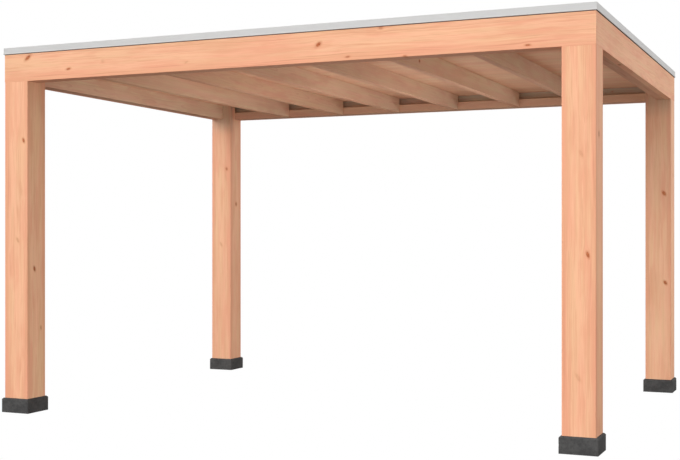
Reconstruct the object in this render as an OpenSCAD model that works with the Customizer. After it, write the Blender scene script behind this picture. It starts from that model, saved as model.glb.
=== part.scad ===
// Flat-roofed open timber patio cover: four notched posts on concrete
// plinths, a ring of fascia boards with bearers and side joists behind it,
// rafters running front to back, a boarded roof deck with a membrane, and a
// folded aluminium edge trim.
//
// Millimetres, +Z up. The origin is at floor level in the middle of the
// footprint. The front is the long side at -Y.

/* [Overall] */
// Width over the fascia boards, left to right
cover_w = 4000; // [3000:10:5000]
// Depth over the fascia boards, front to back
cover_d = 3000; // [2400:10:4000]
// Clear height from the floor to the underside of the beams
head_room = 2235; // [2100:5:2600]

/* [Posts and plinths] */
// Side of the square post
post_s = 190; // [150:5:220]
// Flat planed off each long edge of a post
post_edge = 4; // [1:1:8]
// Height of a plinth
plinth_h = 97; // [60:1:150]
// How far a plinth stands out past its post on each side
plinth_over = 14; // [8:1:30]
// Bevel round the top of a plinth
plinth_bevel = 8; // [3:1:12]

/* [Roof frame] */
// Height of a fascia board
fascia_h = 228; // [200:1:260]
// Thickness of a fascia board
fascia_t = 45; // [28:1:60]
// Thickness of the bearers and of the side joists
bearer_t = 65; // [45:1:70]
// Height of the bearers at the front and back
bearer_h = 62; // [50:1:80]
// Height of the rafters and of the side joists
rafter_h = 120; // [100:1:140]
// Thickness of a rafter
rafter_t = 45; // [38:1:60]

/* [Roof covering] */
// Thickness of the deck boards
deck_t = 18; // [16:1:22]
// Thickness of the roof membrane
membrane_t = 2; // [1.5:0.5:2.5]
// How far the turned-down edge of the membrane shows below the trim
membrane_show = 3; // [0:0.5:6]

/* [Edge trim] */
// Height of the face of the trim
trim_h = 45; // [35:1:60]
// Sheet thickness of the trim
trim_t = 2; // [1.5:0.5:2.5]
// How far the drip bead stands out past the fascia
trim_out = 7; // [7:0.5:12]
// Width of the flange on top
trim_flange = 60; // [55:1:80]
// Height of the drip bead at the foot of the face
bead_h = 6; // [4:1:10]
// How far the bead stands out past the face of the trim
bead_out = 1.5; // [1:0.5:2]
// Depth of the turned-down lip on the roof side
trim_lip = 12; // [8:1:20]

/* [Hidden] */
half_w = cover_w / 2;
half_d = cover_d / 2;
lap_t = fascia_t + bearer_t;
in_w = half_w - fascia_t;
in_d = half_d - fascia_t;
clear_w = half_w - lap_t;
clear_d = half_d - lap_t;
deck_z = head_room + rafter_h;
fascia_top = head_room + fascia_h;
trim_top = fascia_top + membrane_t + trim_t;
bays = 7;
rafter_pitch = (cover_w - 2 * post_s) / bays;
far = 200;

// Square outline with its four corners cut off at 45 degrees.
module cut_square(s, c) {
  h = s / 2;
  polygon([
    [-h + c, -h], [h - c, -h], [h, -h + c], [h, h - c],
    [h - c, h], [-h + c, h], [-h, h - c], [-h, -h + c]
  ]);
}

// Puts a piece that is drawn for the back right corner at any corner.
module at_corner(sx, sy) {
  a = sx > 0 ? (sy > 0 ? 0 : 270) : (sy > 0 ? 90 : 180);
  translate([sx * (half_w - post_s / 2), sy * (half_d - post_s / 2), 0])
    rotate([0, 0, a]) children();
}

// Side view of a plinth.
module plinth_side(s, b) {
  polygon([
    [-s / 2, 0], [s / 2, 0], [s / 2, plinth_h - b],
    [s / 2 - b, plinth_h], [-s / 2 + b, plinth_h], [-s / 2, plinth_h - b]
  ]);
}

// Concrete plinth with a bevelled top, centred under its post.
module plinth(sx, sy) {
  s = post_s + 2 * plinth_over;
  b = plinth_bevel;
  color([0.29, 0.29, 0.28])
  at_corner(sx, sy)
  intersection() {
    rotate([90, 0, 0]) linear_extrude(height = s, center = true)
      plinth_side(s, b);
    rotate([90, 0, 90]) linear_extrude(height = s, center = true)
      plinth_side(s, b);
  }
}

// Square post. Its head is notched on both outer sides, so the fascia, the
// bearer and the side joist stand on the shoulders and the core that is
// left runs up to the deck.
module post(sx, sy) {
  ph = deck_z - plinth_h;
  sh = head_room - plinth_h;
  n = post_s / 2 - lap_t;
  color([0.90, 0.66, 0.50])
  at_corner(sx, sy)
  translate([0, 0, plinth_h])
  difference() {
    linear_extrude(height = ph) cut_square(post_s, post_edge);
    translate([n, -post_s, sh]) cube([post_s, 2 * post_s, rafter_h + 1]);
    translate([-post_s, n, sh]) cube([2 * post_s, post_s, rafter_h + 1]);
  }
}

// Fascia board at the front (s = -1) or back (s = 1), mitred at both ends.
module fascia_long(s) {
  color([0.91, 0.67, 0.51])
  translate([0, 0, head_room])
  linear_extrude(height = fascia_h)
    polygon([
      [-half_w, s * half_d], [half_w, s * half_d],
      [in_w, s * in_d], [-in_w, s * in_d]
    ]);
}

// Fascia board at the left (s = -1) or right (s = 1), mitred at both ends.
module fascia_side(s) {
  color([0.89, 0.65, 0.49])
  translate([0, 0, head_room])
  linear_extrude(height = fascia_h)
    polygon([
      [s * half_w, -half_d], [s * half_w, half_d],
      [s * in_w, in_d], [s * in_w, -in_d]
    ]);
}

// Low bearer behind the front or back fascia. It stands on the shoulders of
// two posts, and the rafters end at its inner face.
module bearer(s) {
  color([0.80, 0.57, 0.42])
  translate([-clear_w, s > 0 ? clear_d : -in_d, head_room])
    cube([2 * clear_w, bearer_t, bearer_h]);
}

// Joist along the left or right fascia, as high as the rafters.
module side_joist(s) {
  color([0.80, 0.57, 0.42])
  translate([s > 0 ? clear_w : -in_w, -in_d, head_room])
    cube([bearer_t, 2 * in_d, rafter_h]);
}

// Rafter number i of six, cut square and fixed between the two bearers.
module rafter(i) {
  x = (i - bays / 2) * rafter_pitch;
  color([0.84, 0.61, 0.46])
  translate([x - rafter_t / 2, -clear_d, head_room])
    cube([rafter_t, 2 * clear_d, rafter_h]);
}

// Boards of the roof deck, taken together.
module roof_deck() {
  color([0.82, 0.59, 0.44])
  translate([-in_w, -in_d, deck_z])
    cube([2 * in_w, 2 * in_d, deck_t]);
}

// Membrane: flat on the deck, up the inside of the fascia boards, over their
// tops and turned down behind the face of the trim.
module roof_membrane() {
  m = membrane_t;
  z0 = deck_z + deck_t;
  hem = trim_top - trim_h - membrane_show;
  color([0.16, 0.16, 0.17])
  difference() {
    union() {
      translate([-in_w, -in_d, z0])
        cube([2 * in_w, 2 * in_d, fascia_top + m - z0]);
      difference() {
        translate([-half_w - m, -half_d - m, hem])
          cube([cover_w + 2 * m, cover_d + 2 * m, fascia_top + m - hem]);
        translate([-half_w, -half_d, hem - 1])
          cube([cover_w, cover_d, fascia_top - hem + 1]);
      }
    }
    translate([-in_w + m, -in_d + m, z0 + m])
      cube([2 * (in_w - m), 2 * (in_d - m), 2 * fascia_h]);
  }
}

// Section of the trim. X runs outward from the face of the fascia board, Y
// runs up.
module trim_section() {
  face = trim_out - bead_out;
  foot = trim_top - trim_h;
  back = trim_out - trim_flange;
  polygon([
    [face - trim_t, foot], [trim_out, foot], [trim_out, foot + bead_h],
    [face, foot + bead_h + bead_out], [face, trim_top], [back, trim_top],
    [back, trim_top - trim_lip], [back + trim_t, trim_top - trim_lip],
    [back + trim_t, trim_top - trim_t],
    [face - trim_t, trim_top - trim_t]
  ]);
}

// One length of trim along a side that is 2 * a long and b from the middle,
// mitred at both ends.
module trim_length(a, b) {
  intersection() {
    translate([0, b, 0]) rotate([90, 0, 90])
      linear_extrude(height = 2 * a + 4 * trim_out, center = true)
        trim_section();
    linear_extrude(height = trim_top + 1)
      polygon([
        [-a + far, b - far], [a - far, b - far],
        [a + far, b + far], [-a - far, b + far]
      ]);
  }
}

module trim_at(a, b, turn) {
  color([0.80, 0.80, 0.79]) rotate([0, 0, turn]) trim_length(a, b);
}

plinth(-1, -1);  // plinth_front_left
plinth(1, -1);  // plinth_front_right
plinth(-1, 1);  // plinth_back_left
plinth(1, 1);  // plinth_back_right
post(-1, -1);  // post_front_left
post(1, -1);  // post_front_right
post(-1, 1);  // post_back_left
post(1, 1);  // post_back_right
fascia_long(-1);  // fascia_front
fascia_long(1);  // fascia_back
fascia_side(-1);  // fascia_left
fascia_side(1);  // fascia_right
bearer(-1);  // bearer_front
bearer(1);  // bearer_back
side_joist(-1);  // side_joist_left
side_joist(1);  // side_joist_right
rafter(1);  // rafter_1
rafter(2);  // rafter_2
rafter(3);  // rafter_3
rafter(4);  // rafter_4
rafter(5);  // rafter_5
rafter(6);  // rafter_6
roof_deck();
roof_membrane();
trim_at(half_w, half_d, 180);  // trim_front
trim_at(half_w, half_d, 0);  // trim_back
trim_at(half_d, half_w, 90);  // trim_left
trim_at(half_d, half_w, 270);  // trim_right
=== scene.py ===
import math
import random

import bmesh
import bpy
from mathutils import Matrix, Vector, noise


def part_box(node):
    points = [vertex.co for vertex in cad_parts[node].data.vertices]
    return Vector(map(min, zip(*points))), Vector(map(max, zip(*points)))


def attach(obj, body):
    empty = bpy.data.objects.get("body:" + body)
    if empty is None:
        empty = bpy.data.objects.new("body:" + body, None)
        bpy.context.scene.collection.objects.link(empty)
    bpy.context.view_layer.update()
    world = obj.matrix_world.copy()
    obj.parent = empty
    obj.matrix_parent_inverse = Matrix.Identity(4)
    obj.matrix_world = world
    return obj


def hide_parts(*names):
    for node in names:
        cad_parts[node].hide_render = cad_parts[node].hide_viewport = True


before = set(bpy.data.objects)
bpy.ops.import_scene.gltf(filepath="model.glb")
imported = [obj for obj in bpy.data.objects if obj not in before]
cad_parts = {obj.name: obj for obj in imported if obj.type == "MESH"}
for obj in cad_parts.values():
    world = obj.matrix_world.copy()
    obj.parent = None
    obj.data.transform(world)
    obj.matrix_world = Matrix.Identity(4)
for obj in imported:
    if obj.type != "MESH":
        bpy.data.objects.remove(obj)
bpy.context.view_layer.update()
scene = bpy.context.scene
mm = 0.001

# ---------------------------------------------------------------- measures
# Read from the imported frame, so that every piece sits where its node sits.
lo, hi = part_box("fascia_front")
HALF_W = hi.x                      # 2.000
HALF_D = -lo.y                     # 1.500
HEAD = lo.z                        # underside of the beams
FASCIA_TOP = hi.z
FASCIA_T = hi.y - lo.y
lo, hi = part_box("bearer_back")
CLEAR_D, IN_D = lo.y, hi.y
lo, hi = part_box("side_joist_right")
CLEAR_W, IN_W = lo.x, hi.x
JOIST_TOP = hi.z
lo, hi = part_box("roof_deck")
DECK_LO, DECK_HI = lo.z, hi.z
lo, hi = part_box("post_back_right")
POST = hi.x - lo.x
POST_FOOT = lo.z
lo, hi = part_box("trim_back")
TRIM_OUT = hi.y - HALF_D
TRIM_TOP, TRIM_FOOT = hi.z, lo.z
TRIM_IN = HALF_D - lo.y            # how far the flange reaches inward


# ------------------------------------------------------------ mesh helpers
def finish_mesh(bm, name, smooth=40):
    """A clean closed mesh object from a bmesh, with weighted normals."""
    bmesh.ops.remove_doubles(bm, verts=bm.verts, dist=2e-6)
    bmesh.ops.dissolve_degenerate(bm, edges=bm.edges, dist=1e-6)
    bmesh.ops.recalc_face_normals(bm, faces=bm.faces)
    me = bpy.data.meshes.new(name)
    bm.to_mesh(me)
    bm.free()
    me.polygons.foreach_set("use_smooth", [True] * len(me.polygons))
    me.set_sharp_from_angle(angle=math.radians(smooth))
    ob = bpy.data.objects.new(name, me)
    scene.collection.objects.link(ob)
    wn = ob.modifiers.new("normals", "WEIGHTED_NORMAL")
    wn.keep_sharp = True
    wn.weight = 80
    return ob


def prism(bm, outline, lo_, hi_, place):
    """A straight prism in bm: outline is a CCW list of (a, b), and place(a, b, c)
    gives the point at c along the prism. Returns its faces."""
    low = [bm.verts.new(place(a, b, lo_)) for a, b in outline]
    high = [bm.verts.new(place(a, b, hi_)) for a, b in outline]
    n = len(outline)
    faces = [bm.faces.new(list(reversed(low))), bm.faces.new(high)]
    for i in range(n):
        j = (i + 1) % n
        faces.append(bm.faces.new((low[i], low[j], high[j], high[i])))
    return faces


def bevel(bm, test, width, segments):
    """Rounds the edges that test(edge) picks."""
    edges = [e for e in bm.edges if test(e)]
    if edges:
        bmesh.ops.bevel(
            bm, geom=edges, offset=width, offset_type="OFFSET", segments=segments,
            profile=0.5, affect="EDGES", clamp_overlap=True, miter_outer="SHARP",
        )


def along(e, axis):
    d = e.verts[1].co - e.verts[0].co
    return abs(d[axis]) > 0.999 * d.length


def near(a, b, tol=3e-5):
    return abs(a - b) < tol


def set_grain(ob, fn, boards=None):
    """Stores, for each vertex, its place in the board's own sawn frame: along the
    grain, across it, and through it, in metres. boards gives a board's own random
    numbers."""
    me = ob.data
    g = me.attributes.new("grain", "FLOAT_VECTOR", "POINT")
    b = me.attributes.new("board", "FLOAT_VECTOR", "POINT")
    gv, bv = [], []
    for v in me.vertices:
        gv.extend(fn(v.co))
        bv.extend(boards(v.co) if boards else (0.5, 0.5, 0.5))
    g.data.foreach_set("vector", gv)
    b.data.foreach_set("vector", bv)


# --------------------------------------------------------- material helpers
class Tree:
    """Short names for building a node tree."""

    def __init__(self, name):
        self.mat = bpy.data.materials.new(name)
        self.mat.use_nodes = True
        self.nt = self.mat.node_tree
        self.nt.nodes.clear()
        self.out = self.nt.nodes.new("ShaderNodeOutputMaterial")
        self.bsdf = self.nt.nodes.new("ShaderNodeBsdfPrincipled")
        self.nt.links.new(self.bsdf.outputs[0], self.out.inputs[0])

    def put(self, socket, value):
        if value is None:
            return
        if isinstance(value, bpy.types.NodeSocket):
            self.nt.links.new(value, socket)
        elif isinstance(value, (tuple, list)) and len(value) == 3 and socket.type == "RGBA":
            socket.default_value = (*value, 1.0)
        else:
            socket.default_value = value

    def math(self, op, a, b=None, c=None, clamp=False):
        n = self.nt.nodes.new("ShaderNodeMath")
        n.operation = op
        n.use_clamp = clamp
        for s, v in zip(n.inputs, (a, b, c)):
            self.put(s, v)
        return n.outputs[0]

    def vec(self, op, a, b=None, scale=None):
        n = self.nt.nodes.new("ShaderNodeVectorMath")
        n.operation = op
        self.put(n.inputs[0], a)
        self.put(n.inputs[1], b)
        if scale is not None:
            self.put(n.inputs["Scale"], scale)
        return n.outputs["Value"] if op in ("LENGTH", "DOT_PRODUCT", "DISTANCE") else n.outputs["Vector"]

    def split(self, v):
        n = self.nt.nodes.new("ShaderNodeSeparateXYZ")
        self.put(n.inputs[0], v)
        return n.outputs[0], n.outputs[1], n.outputs[2]

    def join(self, x, y, z):
        n = self.nt.nodes.new("ShaderNodeCombineXYZ")
        for s, v in zip(n.inputs, (x, y, z)):
            self.put(s, v)
        return n.outputs[0]

    def attr(self, name):
        n = self.nt.nodes.new("ShaderNodeAttribute")
        n.attribute_name = name
        return n.outputs["Vector"]

    def noise(self, v, scale=1.0, detail=2.0, rough=0.5, dims="3D", w=None, lac=2.0, distortion=0.0):
        n = self.nt.nodes.new("ShaderNodeTexNoise")
        n.noise_dimensions = dims
        if dims != "1D":
            self.put(n.inputs["Vector"], v)
        if dims in ("1D", "4D"):
            self.put(n.inputs["W"], w)
        n.inputs["Scale"].default_value = scale
        n.inputs["Detail"].default_value = detail
        n.inputs["Roughness"].default_value = rough
        n.inputs["Lacunarity"].default_value = lac
        n.inputs["Distortion"].default_value = distortion
        return n.outputs["Fac"]

    def voronoi(self, v, scale=1.0, feature="F1", rnd=1.0, out="Distance", dims="3D"):
        n = self.nt.nodes.new("ShaderNodeTexVoronoi")
        n.feature = feature
        n.voronoi_dimensions = dims
        self.put(n.inputs["Vector"], v)
        n.inputs["Scale"].default_value = scale
        n.inputs["Randomness"].default_value = rnd
        return n.outputs[out] if isinstance(out, str) else [n.outputs[o] for o in out]

    def range(self, v, a, b, c=0.0, d=1.0, kind="SMOOTHSTEP", clamp=True):
        n = self.nt.nodes.new("ShaderNodeMapRange")
        n.interpolation_type = kind
        n.clamp = clamp
        for k, s in zip((v, a, b, c, d), n.inputs):
            self.put(s, k)
        return n.outputs[0]

    def mix(self, f, a, b, kind="MIX"):
        n = self.nt.nodes.new("ShaderNodeMix")
        n.data_type = "RGBA"
        n.blend_type = kind
        n.clamp_factor = True
        self.put(n.inputs[0], f)
        self.put(n.inputs[6], a)
        self.put(n.inputs[7], b)
        return n.outputs[2]

    def ramp(self, f, stops, interp="LINEAR"):
        n = self.nt.nodes.new("ShaderNodeValToRGB")
        cr = n.color_ramp
        cr.interpolation = interp
        while len(cr.elements) < len(stops):
            cr.elements.new(0.5)
        for e, (p, c) in zip(cr.elements, stops):
            e.position = p
            e.color = (*c, 1.0) if len(c) == 3 else c
        self.put(n.inputs[0], f)
        return n.outputs[0]

    def scale_rgb(self, col, f):
        """col times the number f."""
        n = self.nt.nodes.new("ShaderNodeVectorMath")
        n.operation = "SCALE"
        self.put(n.inputs[0], col)
        self.put(n.inputs["Scale"], f)
        return n.outputs[0]

    def bump(self, height, strength, dist, normal=None):
        n = self.nt.nodes.new("ShaderNodeBump")
        n.inputs["Strength"].default_value = strength
        n.inputs["Distance"].default_value = dist
        self.put(n.inputs["Height"], height)
        if normal is not None:
            self.put(n.inputs["Normal"], normal)
        return n.outputs[0]


def lin(r, g, b):
    """8-bit display colour to linear."""
    return tuple(((c / 255 + 0.055) / 1.055) ** 2.4 if c > 10 else c / 255 / 12.92 for c in (r, g, b))


LIGHT = (0.846, 0.491, 0.299)      # spring wood
WARM = (0.813, 0.439, 0.267)       # middle tone
PINK = (0.783, 0.381, 0.233)       # heart wood towards the arrises
LATE = (0.662, 0.278, 0.166)       # late wood lines
KNOT_RED = (0.520, 0.165, 0.060)
KNOT_DARK = (0.290, 0.062, 0.020)


def wood(name, seed, pith=(0.0, 0.0), knots=(), pitch=0.0046, tone=1.0, pink=(0.05, 0.13),
         streak=1.0, rings=1.0, random_knots=0.0, boards=False, streaks=(), clouds=(),
         painted_light_tint=(1.0, 1.0, 1.0), wander=0.034, sides=(), heart_mix=0.75,
         calm=False):
    """Planed softwood, cut from a log with its pith at pith (across, through) in
    the board's own frame. knots are (along, across, through, half length, half
    width, tilt, darkness, axis), axis 't' where it shows on a face of constant
    'through' and 'd' where it shows on a face of constant 'across'. sides are
    (axis, place, in, colour) for a face at place, with the timber on its in side,
    that is toned by colour, or ('s', place, in, colour) for the end past place,
    with 'S' for its front side only. calm keeps the rings faint where they lie flat."""
    T = Tree(name)
    P = T.attr("grain")
    off = (seed * 3.71, seed * 1.93, seed * 2.57)
    if boards:
        B = T.attr("board")
        offv = T.vec("MULTIPLY", B, (37.0, 11.0, 23.0))
        Q = T.vec("ADD", T.vec("ADD", P, off), offv)
    else:
        B = None
        Q = T.vec("ADD", P, off)
    s, t, d = T.split(P)
    # the trunk wanders a little, so the grain is never quite straight
    wob = T.noise(T.vec("MULTIPLY", Q, (1.5, 2.2, 2.2)), 1.0, 2.0, 0.45)
    wob2 = T.noise(T.vec("ADD", T.vec("MULTIPLY", Q, (1.3, 2.0, 2.0)), (9.1, 3.3, 7.7)), 1.0, 2.0, 0.45)
    fine = T.noise(T.vec("MULTIPLY", Q, (6.0, 18.0, 18.0)), 1.0, 2.0, 0.5)
    wt = T.math("MULTIPLY", T.math("SUBTRACT", wob, 0.5), wander)
    wd = T.math("MULTIPLY", T.math("SUBTRACT", wob2, 0.5), wander)
    wf = T.math("MULTIPLY", T.math("SUBTRACT", fine, 0.5), 0.0075)
    tt = T.math("ADD", T.math("ADD", t, wt), wf)
    dd = T.math("ADD", T.math("ADD", d, wd), wf)
    mask = None
    rim = None
    halo = None
    for ks, kt, kd, a, b, tilt, dark, axis in knots:
        rel = T.vec("SUBTRACT", P, (ks, kt, kd))
        rot = T.nt.nodes.new("ShaderNodeVectorRotate")
        rot.rotation_type = "Z_AXIS" if axis == "t" else "Y_AXIS"
        T.put(rot.inputs["Vector"], rel)
        rot.inputs["Angle"].default_value = -tilt if axis == "t" else tilt
        r = rot.outputs[0]
        deep = 0.05
        sc = (1 / a, 1 / b, 1 / deep) if axis == "t" else (1 / a, 1 / deep, 1 / b)
        rho = T.vec("LENGTH", T.vec("MULTIPLY", r, sc))
        jag = T.noise(T.vec("MULTIPLY", Q, (90.0, 90.0, 90.0)), 1.0, 1.0, 0.5)
        rho = T.math("ADD", rho, T.math("MULTIPLY", T.math("SUBTRACT", jag, 0.5), 0.35))
        m = T.math("MULTIPLY", T.range(rho, 1.15, 0.55), dark)
        q = T.math("MULTIPLY", T.range(rho, 2.0, 0.8), 0.45 * dark)
        fl = (1 / (a * 2.0), 1 / (b * 2.4), 1 / 0.06) if axis == "t" else (1 / (a * 2.0), 1 / 0.06, 1 / (b * 2.4))
        far_ = T.vec("LENGTH", T.vec("MULTIPLY", rel, fl))
        g = T.math("EXPONENT", T.math("MULTIPLY", T.math("MULTIPLY", far_, far_), -1.0))
        _, rt, rd = T.split(rel)
        pull = 0.6 if dark > 0.3 else 0.15       # a knot below the surface hardly bends the grain
        if axis == "t":
            tt = T.math("SUBTRACT", tt, T.math("MULTIPLY", T.math("MULTIPLY", rt, g), pull))
            dd = T.math("ADD", dd, T.math("MULTIPLY", g, b * 0.35))
        else:
            dd = T.math("SUBTRACT", dd, T.math("MULTIPLY", T.math("MULTIPLY", rd, g), pull))
            tt = T.math("ADD", tt, T.math("MULTIPLY", g, b * 0.35))
        mask = m if mask is None else T.math("MAXIMUM", mask, m)
        halo = q if halo is None else T.math("MAXIMUM", halo, q)
    if random_knots:
        # a knot here and there, each in its own stretch of board
        cell = T.nt.nodes.new("ShaderNodeTexVoronoi")
        cell.voronoi_dimensions = "3D"
        cell.feature = "F1"
        kv = T.vec("MULTIPLY", Q, (1.9, 7.0, 7.0))
        T.put(cell.inputs["Vector"], kv)
        cell.inputs["Randomness"].default_value = 0.85
        rel = T.vec("DIVIDE", T.vec("SUBTRACT", kv, cell.outputs["Position"]), (1.9, 7.0, 7.0))
        pick = T.split(cell.outputs["Color"])
        size = T.range(pick[1], 0.0, 1.0, 0.0045, 0.0105, kind="LINEAR")
        keep = T.math("LESS_THAN", pick[0], random_knots)
        rs, rt, rd = T.split(rel)
        rr = T.vec("LENGTH", T.join(T.math("MULTIPLY", rs, 0.62), rt, rd))
        jag = T.noise(T.vec("MULTIPLY", Q, (90.0, 90.0, 90.0)), 1.0, 1.0, 0.5)
        rho = T.math("ADD", T.math("DIVIDE", rr, size), T.math("MULTIPLY", T.math("SUBTRACT", jag, 0.5), 0.35))
        m = T.math("MULTIPLY", T.range(rho, 1.15, 0.6), T.math("MULTIPLY", keep, 0.85))
        q = T.math("MULTIPLY", T.range(rho, 2.8, 0.9), T.math("MULTIPLY", keep, 0.5))
        far_ = T.math("DIVIDE", rr, T.math("MULTIPLY", size, 3.0))
        g = T.math("MULTIPLY", T.math("EXPONENT", T.math("MULTIPLY", T.math("MULTIPLY", far_, far_), -1.0)), keep)
        tt = T.math("SUBTRACT", tt, T.math("MULTIPLY", T.math("MULTIPLY", rt, g), 0.7))
        dd = T.math("SUBTRACT", dd, T.math("MULTIPLY", T.math("MULTIPLY", rd, g), 0.7))
        mask = m if mask is None else T.math("MAXIMUM", mask, m)
        halo = q if halo is None else T.math("MAXIMUM", halo, q)
    # rings about the pith
    rt_ = T.math("SUBTRACT", tt, pith[0])
    rd_ = T.math("SUBTRACT", dd, pith[1])
    if boards:
        bx, by, bz = T.split(B)
        rt_ = T.math("ADD", rt_, T.math("MULTIPLY", T.math("SUBTRACT", by, 0.5), 0.12))
        rd_ = T.math("ADD", rd_, T.math("MULTIPLY", bz, 0.05))
    rad = T.math("SQRT", T.math("ADD", T.math("MULTIPLY", rt_, rt_), T.math("MULTIPLY", rd_, rd_)))
    ring = T.math("DIVIDE", rad, pitch)
    # wide and narrow years
    years = T.noise(None, 0.9, 2.0, 0.6, dims="1D", w=T.math("ADD", T.math("MULTIPLY", ring, 0.35), seed * 5.3))
    ring = T.math("ADD", ring, T.math("MULTIPLY", years, 2.2))
    fr = T.math("FRACT", ring)
    late = T.math("MULTIPLY", T.math("POWER", fr, 2.6), T.range(fr, 1.0, 0.93))
    # soft bands that follow the rings, and streaks that run along the board
    band = T.noise(T.join(T.math("MULTIPLY", s, 0.55), T.math("MULTIPLY", rad, 36.0), seed * 1.7), 1.0, 3.0, 0.55)
    strk = T.noise(T.vec("MULTIPLY", T.join(s, tt, dd), (2.2, 74.0, 74.0)), 1.0, 3.0, 0.6)
    patch = T.noise(T.vec("MULTIPLY", Q, (3.0, 13.0, 13.0)), 1.0, 2.0, 0.55)
    slow = T.noise(T.vec("MULTIPLY", Q, (1.3, 5.0, 5.0)), 1.0, 2.0, 0.5)
    fib = T.noise(T.vec("MULTIPLY", Q, (9.0, 620.0, 620.0)), 1.0, 2.0, 0.6)
    # colour
    heart = T.range(T.math("ADD", rad, T.math("MULTIPLY", T.math("SUBTRACT", slow, 0.5), 0.035)), pink[0], pink[1])
    body = T.mix(T.range(band, 0.34, 0.66), LIGHT, WARM)
    body = T.mix(T.math("MULTIPLY", T.range(patch, 0.50, 0.66), 0.75), body, PINK)
    body = T.mix(T.math("MULTIPLY", T.range(patch, 0.48, 0.34), 0.75), body, LIGHT)
    body = T.mix(T.math("MULTIPLY", T.range(strk, 0.50, 0.64), 0.70 * streak), body, PINK)
    body = T.mix(T.math("MULTIPLY", T.range(strk, 0.47, 0.36), 0.70 * streak), body, LIGHT)
    thread = T.noise(T.vec("MULTIPLY", T.vec("ADD", T.join(s, tt, dd), (3.1, 0.7, 1.9)), (4.0, 130.0, 130.0)), 1.0, 2.0, 0.5)
    body = T.mix(T.math("MULTIPLY", T.range(thread, 0.54, 0.72), 0.34 * streak), body, LATE)
    body = T.mix(T.math("MULTIPLY", heart, heart_mix), body, PINK)
    # clouds mix patches toward PINK, or toward LIGHT for a negative strength: the timber's own colour on the fascias
    # and joists, but painted light and shade on the posts
    for ss, st, sd, sl, sw, sk, axis in clouds:
        rel = T.vec("SUBTRACT", P, (ss, st, sd))
        sc = (1 / sl, 1 / sw, 1 / 0.05) if axis == "t" else (1 / sl, 1 / 0.05, 1 / sw)
        q = T.vec("LENGTH", T.vec("MULTIPLY", rel, sc))
        m = T.math("MULTIPLY", T.range(q, 1.0, 0.0), abs(sk))
        m = T.math("MULTIPLY", m, T.range(strk, 0.30, 0.62, 0.35, 1.0))
        body = T.mix(m, body, PINK if sk > 0 else LIGHT)
    amp = T.range(T.noise(T.vec("MULTIPLY", Q, (1.1, 9.0, 9.0)), 1.0, 2.0, 0.5), 0.35, 0.70, 0.25, 1.0)
    if calm:
        least = T.math("MINIMUM", T.math("ABSOLUTE", rt_), T.math("ABSOLUTE", rd_))
        amp = T.math("MULTIPLY", amp, T.range(T.math("DIVIDE", least, rad), 0.10, 0.50, 0.12, 1.20))
    body = T.mix(T.math("MULTIPLY", T.math("MULTIPLY", late, amp), 0.60 * rings), body, LATE)
    for ss, st, sd, sl, sw, sk, axis in streaks:
        rel = T.vec("SUBTRACT", T.join(s, tt, dd), (ss, st, sd))
        sc = (1 / sl, 1 / sw, 1 / 0.03) if axis == "t" else (1 / sl, 1 / 0.03, 1 / sw)
        q = T.vec("LENGTH", T.vec("MULTIPLY", rel, sc))
        m = T.math("MULTIPLY", T.range(q, 1.0, 0.1), sk)
        body = T.mix(m, body, LATE)
    # the tone drifts between straw and rose along the grain, at the same lightness
    drift = T.noise(T.vec("MULTIPLY", T.vec("ADD", Q, (5.1, 2.2, 8.4)), (1.9, 24.0, 24.0)), 1.0, 3.0, 0.6)
    body = T.vec("MULTIPLY", body, T.mix(T.range(drift, 0.34, 0.66), (0.979, 1.014, 0.987), (1.017, 0.987, 1.010)))
    shade = T.math("ADD", 1.0, T.math("MULTIPLY", T.math("SUBTRACT", slow, 0.5), 0.10))
    shade = T.math("ADD", shade, T.math("MULTIPLY", T.math("SUBTRACT", fib, 0.5), 0.16))
    if boards:
        shade = T.math("ADD", shade, T.math("MULTIPLY", T.math("SUBTRACT", bx, 0.5), 0.06))
    shade = T.math("MULTIPLY", shade, tone)
    body = T.scale_rgb(body, shade)
    # the tint tones the whole piece: painted light and shade, a colour shift that stands in for how the light falls on
    # a piece under the roof
    if painted_light_tint != (1.0, 1.0, 1.0):
        body = T.vec("MULTIPLY", body, painted_light_tint)
    # the sides tone a face or an end of the piece: painted light and shade, lighter or darker for how the light falls
    # there
    for axis, place, inward, colour in sides:
        if axis in "sS":                        # toward one end; S on the front side only
            m = T.range(s, place - 0.16 * inward, place)
            if axis == "S":
                m = T.math("MULTIPLY", m, T.range(d, -0.030, -0.085))
        else:
            m = T.range(t if axis == "t" else d, place + inward * 0.0022, place + inward * 0.0004)
        body = T.mix(m, body, T.vec("MULTIPLY", body, colour))
    rough = T.math("ADD", 0.54, T.math("MULTIPLY", fib, 0.10))
    rough = T.math("SUBTRACT", rough, T.math("MULTIPLY", late, 0.07))
    h = T.math("ADD", T.math("MULTIPLY", late, 0.55), T.math("MULTIPLY", fib, 0.45))
    if mask is not None:
        body = T.mix(halo, body, KNOT_RED)
        inner = T.noise(T.vec("MULTIPLY", Q, (160.0, 160.0, 160.0)), 1.0, 2.0, 0.6)
        kc = T.mix(T.range(inner, 0.3, 0.7), KNOT_DARK, KNOT_RED)
        body = T.mix(mask, body, kc)
        rough = T.math("SUBTRACT", rough, T.math("MULTIPLY", mask, 0.12))
        h = T.math("ADD", h, T.math("MULTIPLY", mask, 0.5))
    T.put(T.bsdf.inputs["Base Color"], body)
    T.put(T.bsdf.inputs["Roughness"], rough)
    T.bsdf.inputs["Specular IOR Level"].default_value = 0.30
    T.put(T.bsdf.inputs["Normal"], T.bump(h, 0.35, 0.0005))
    return T.mat


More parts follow.
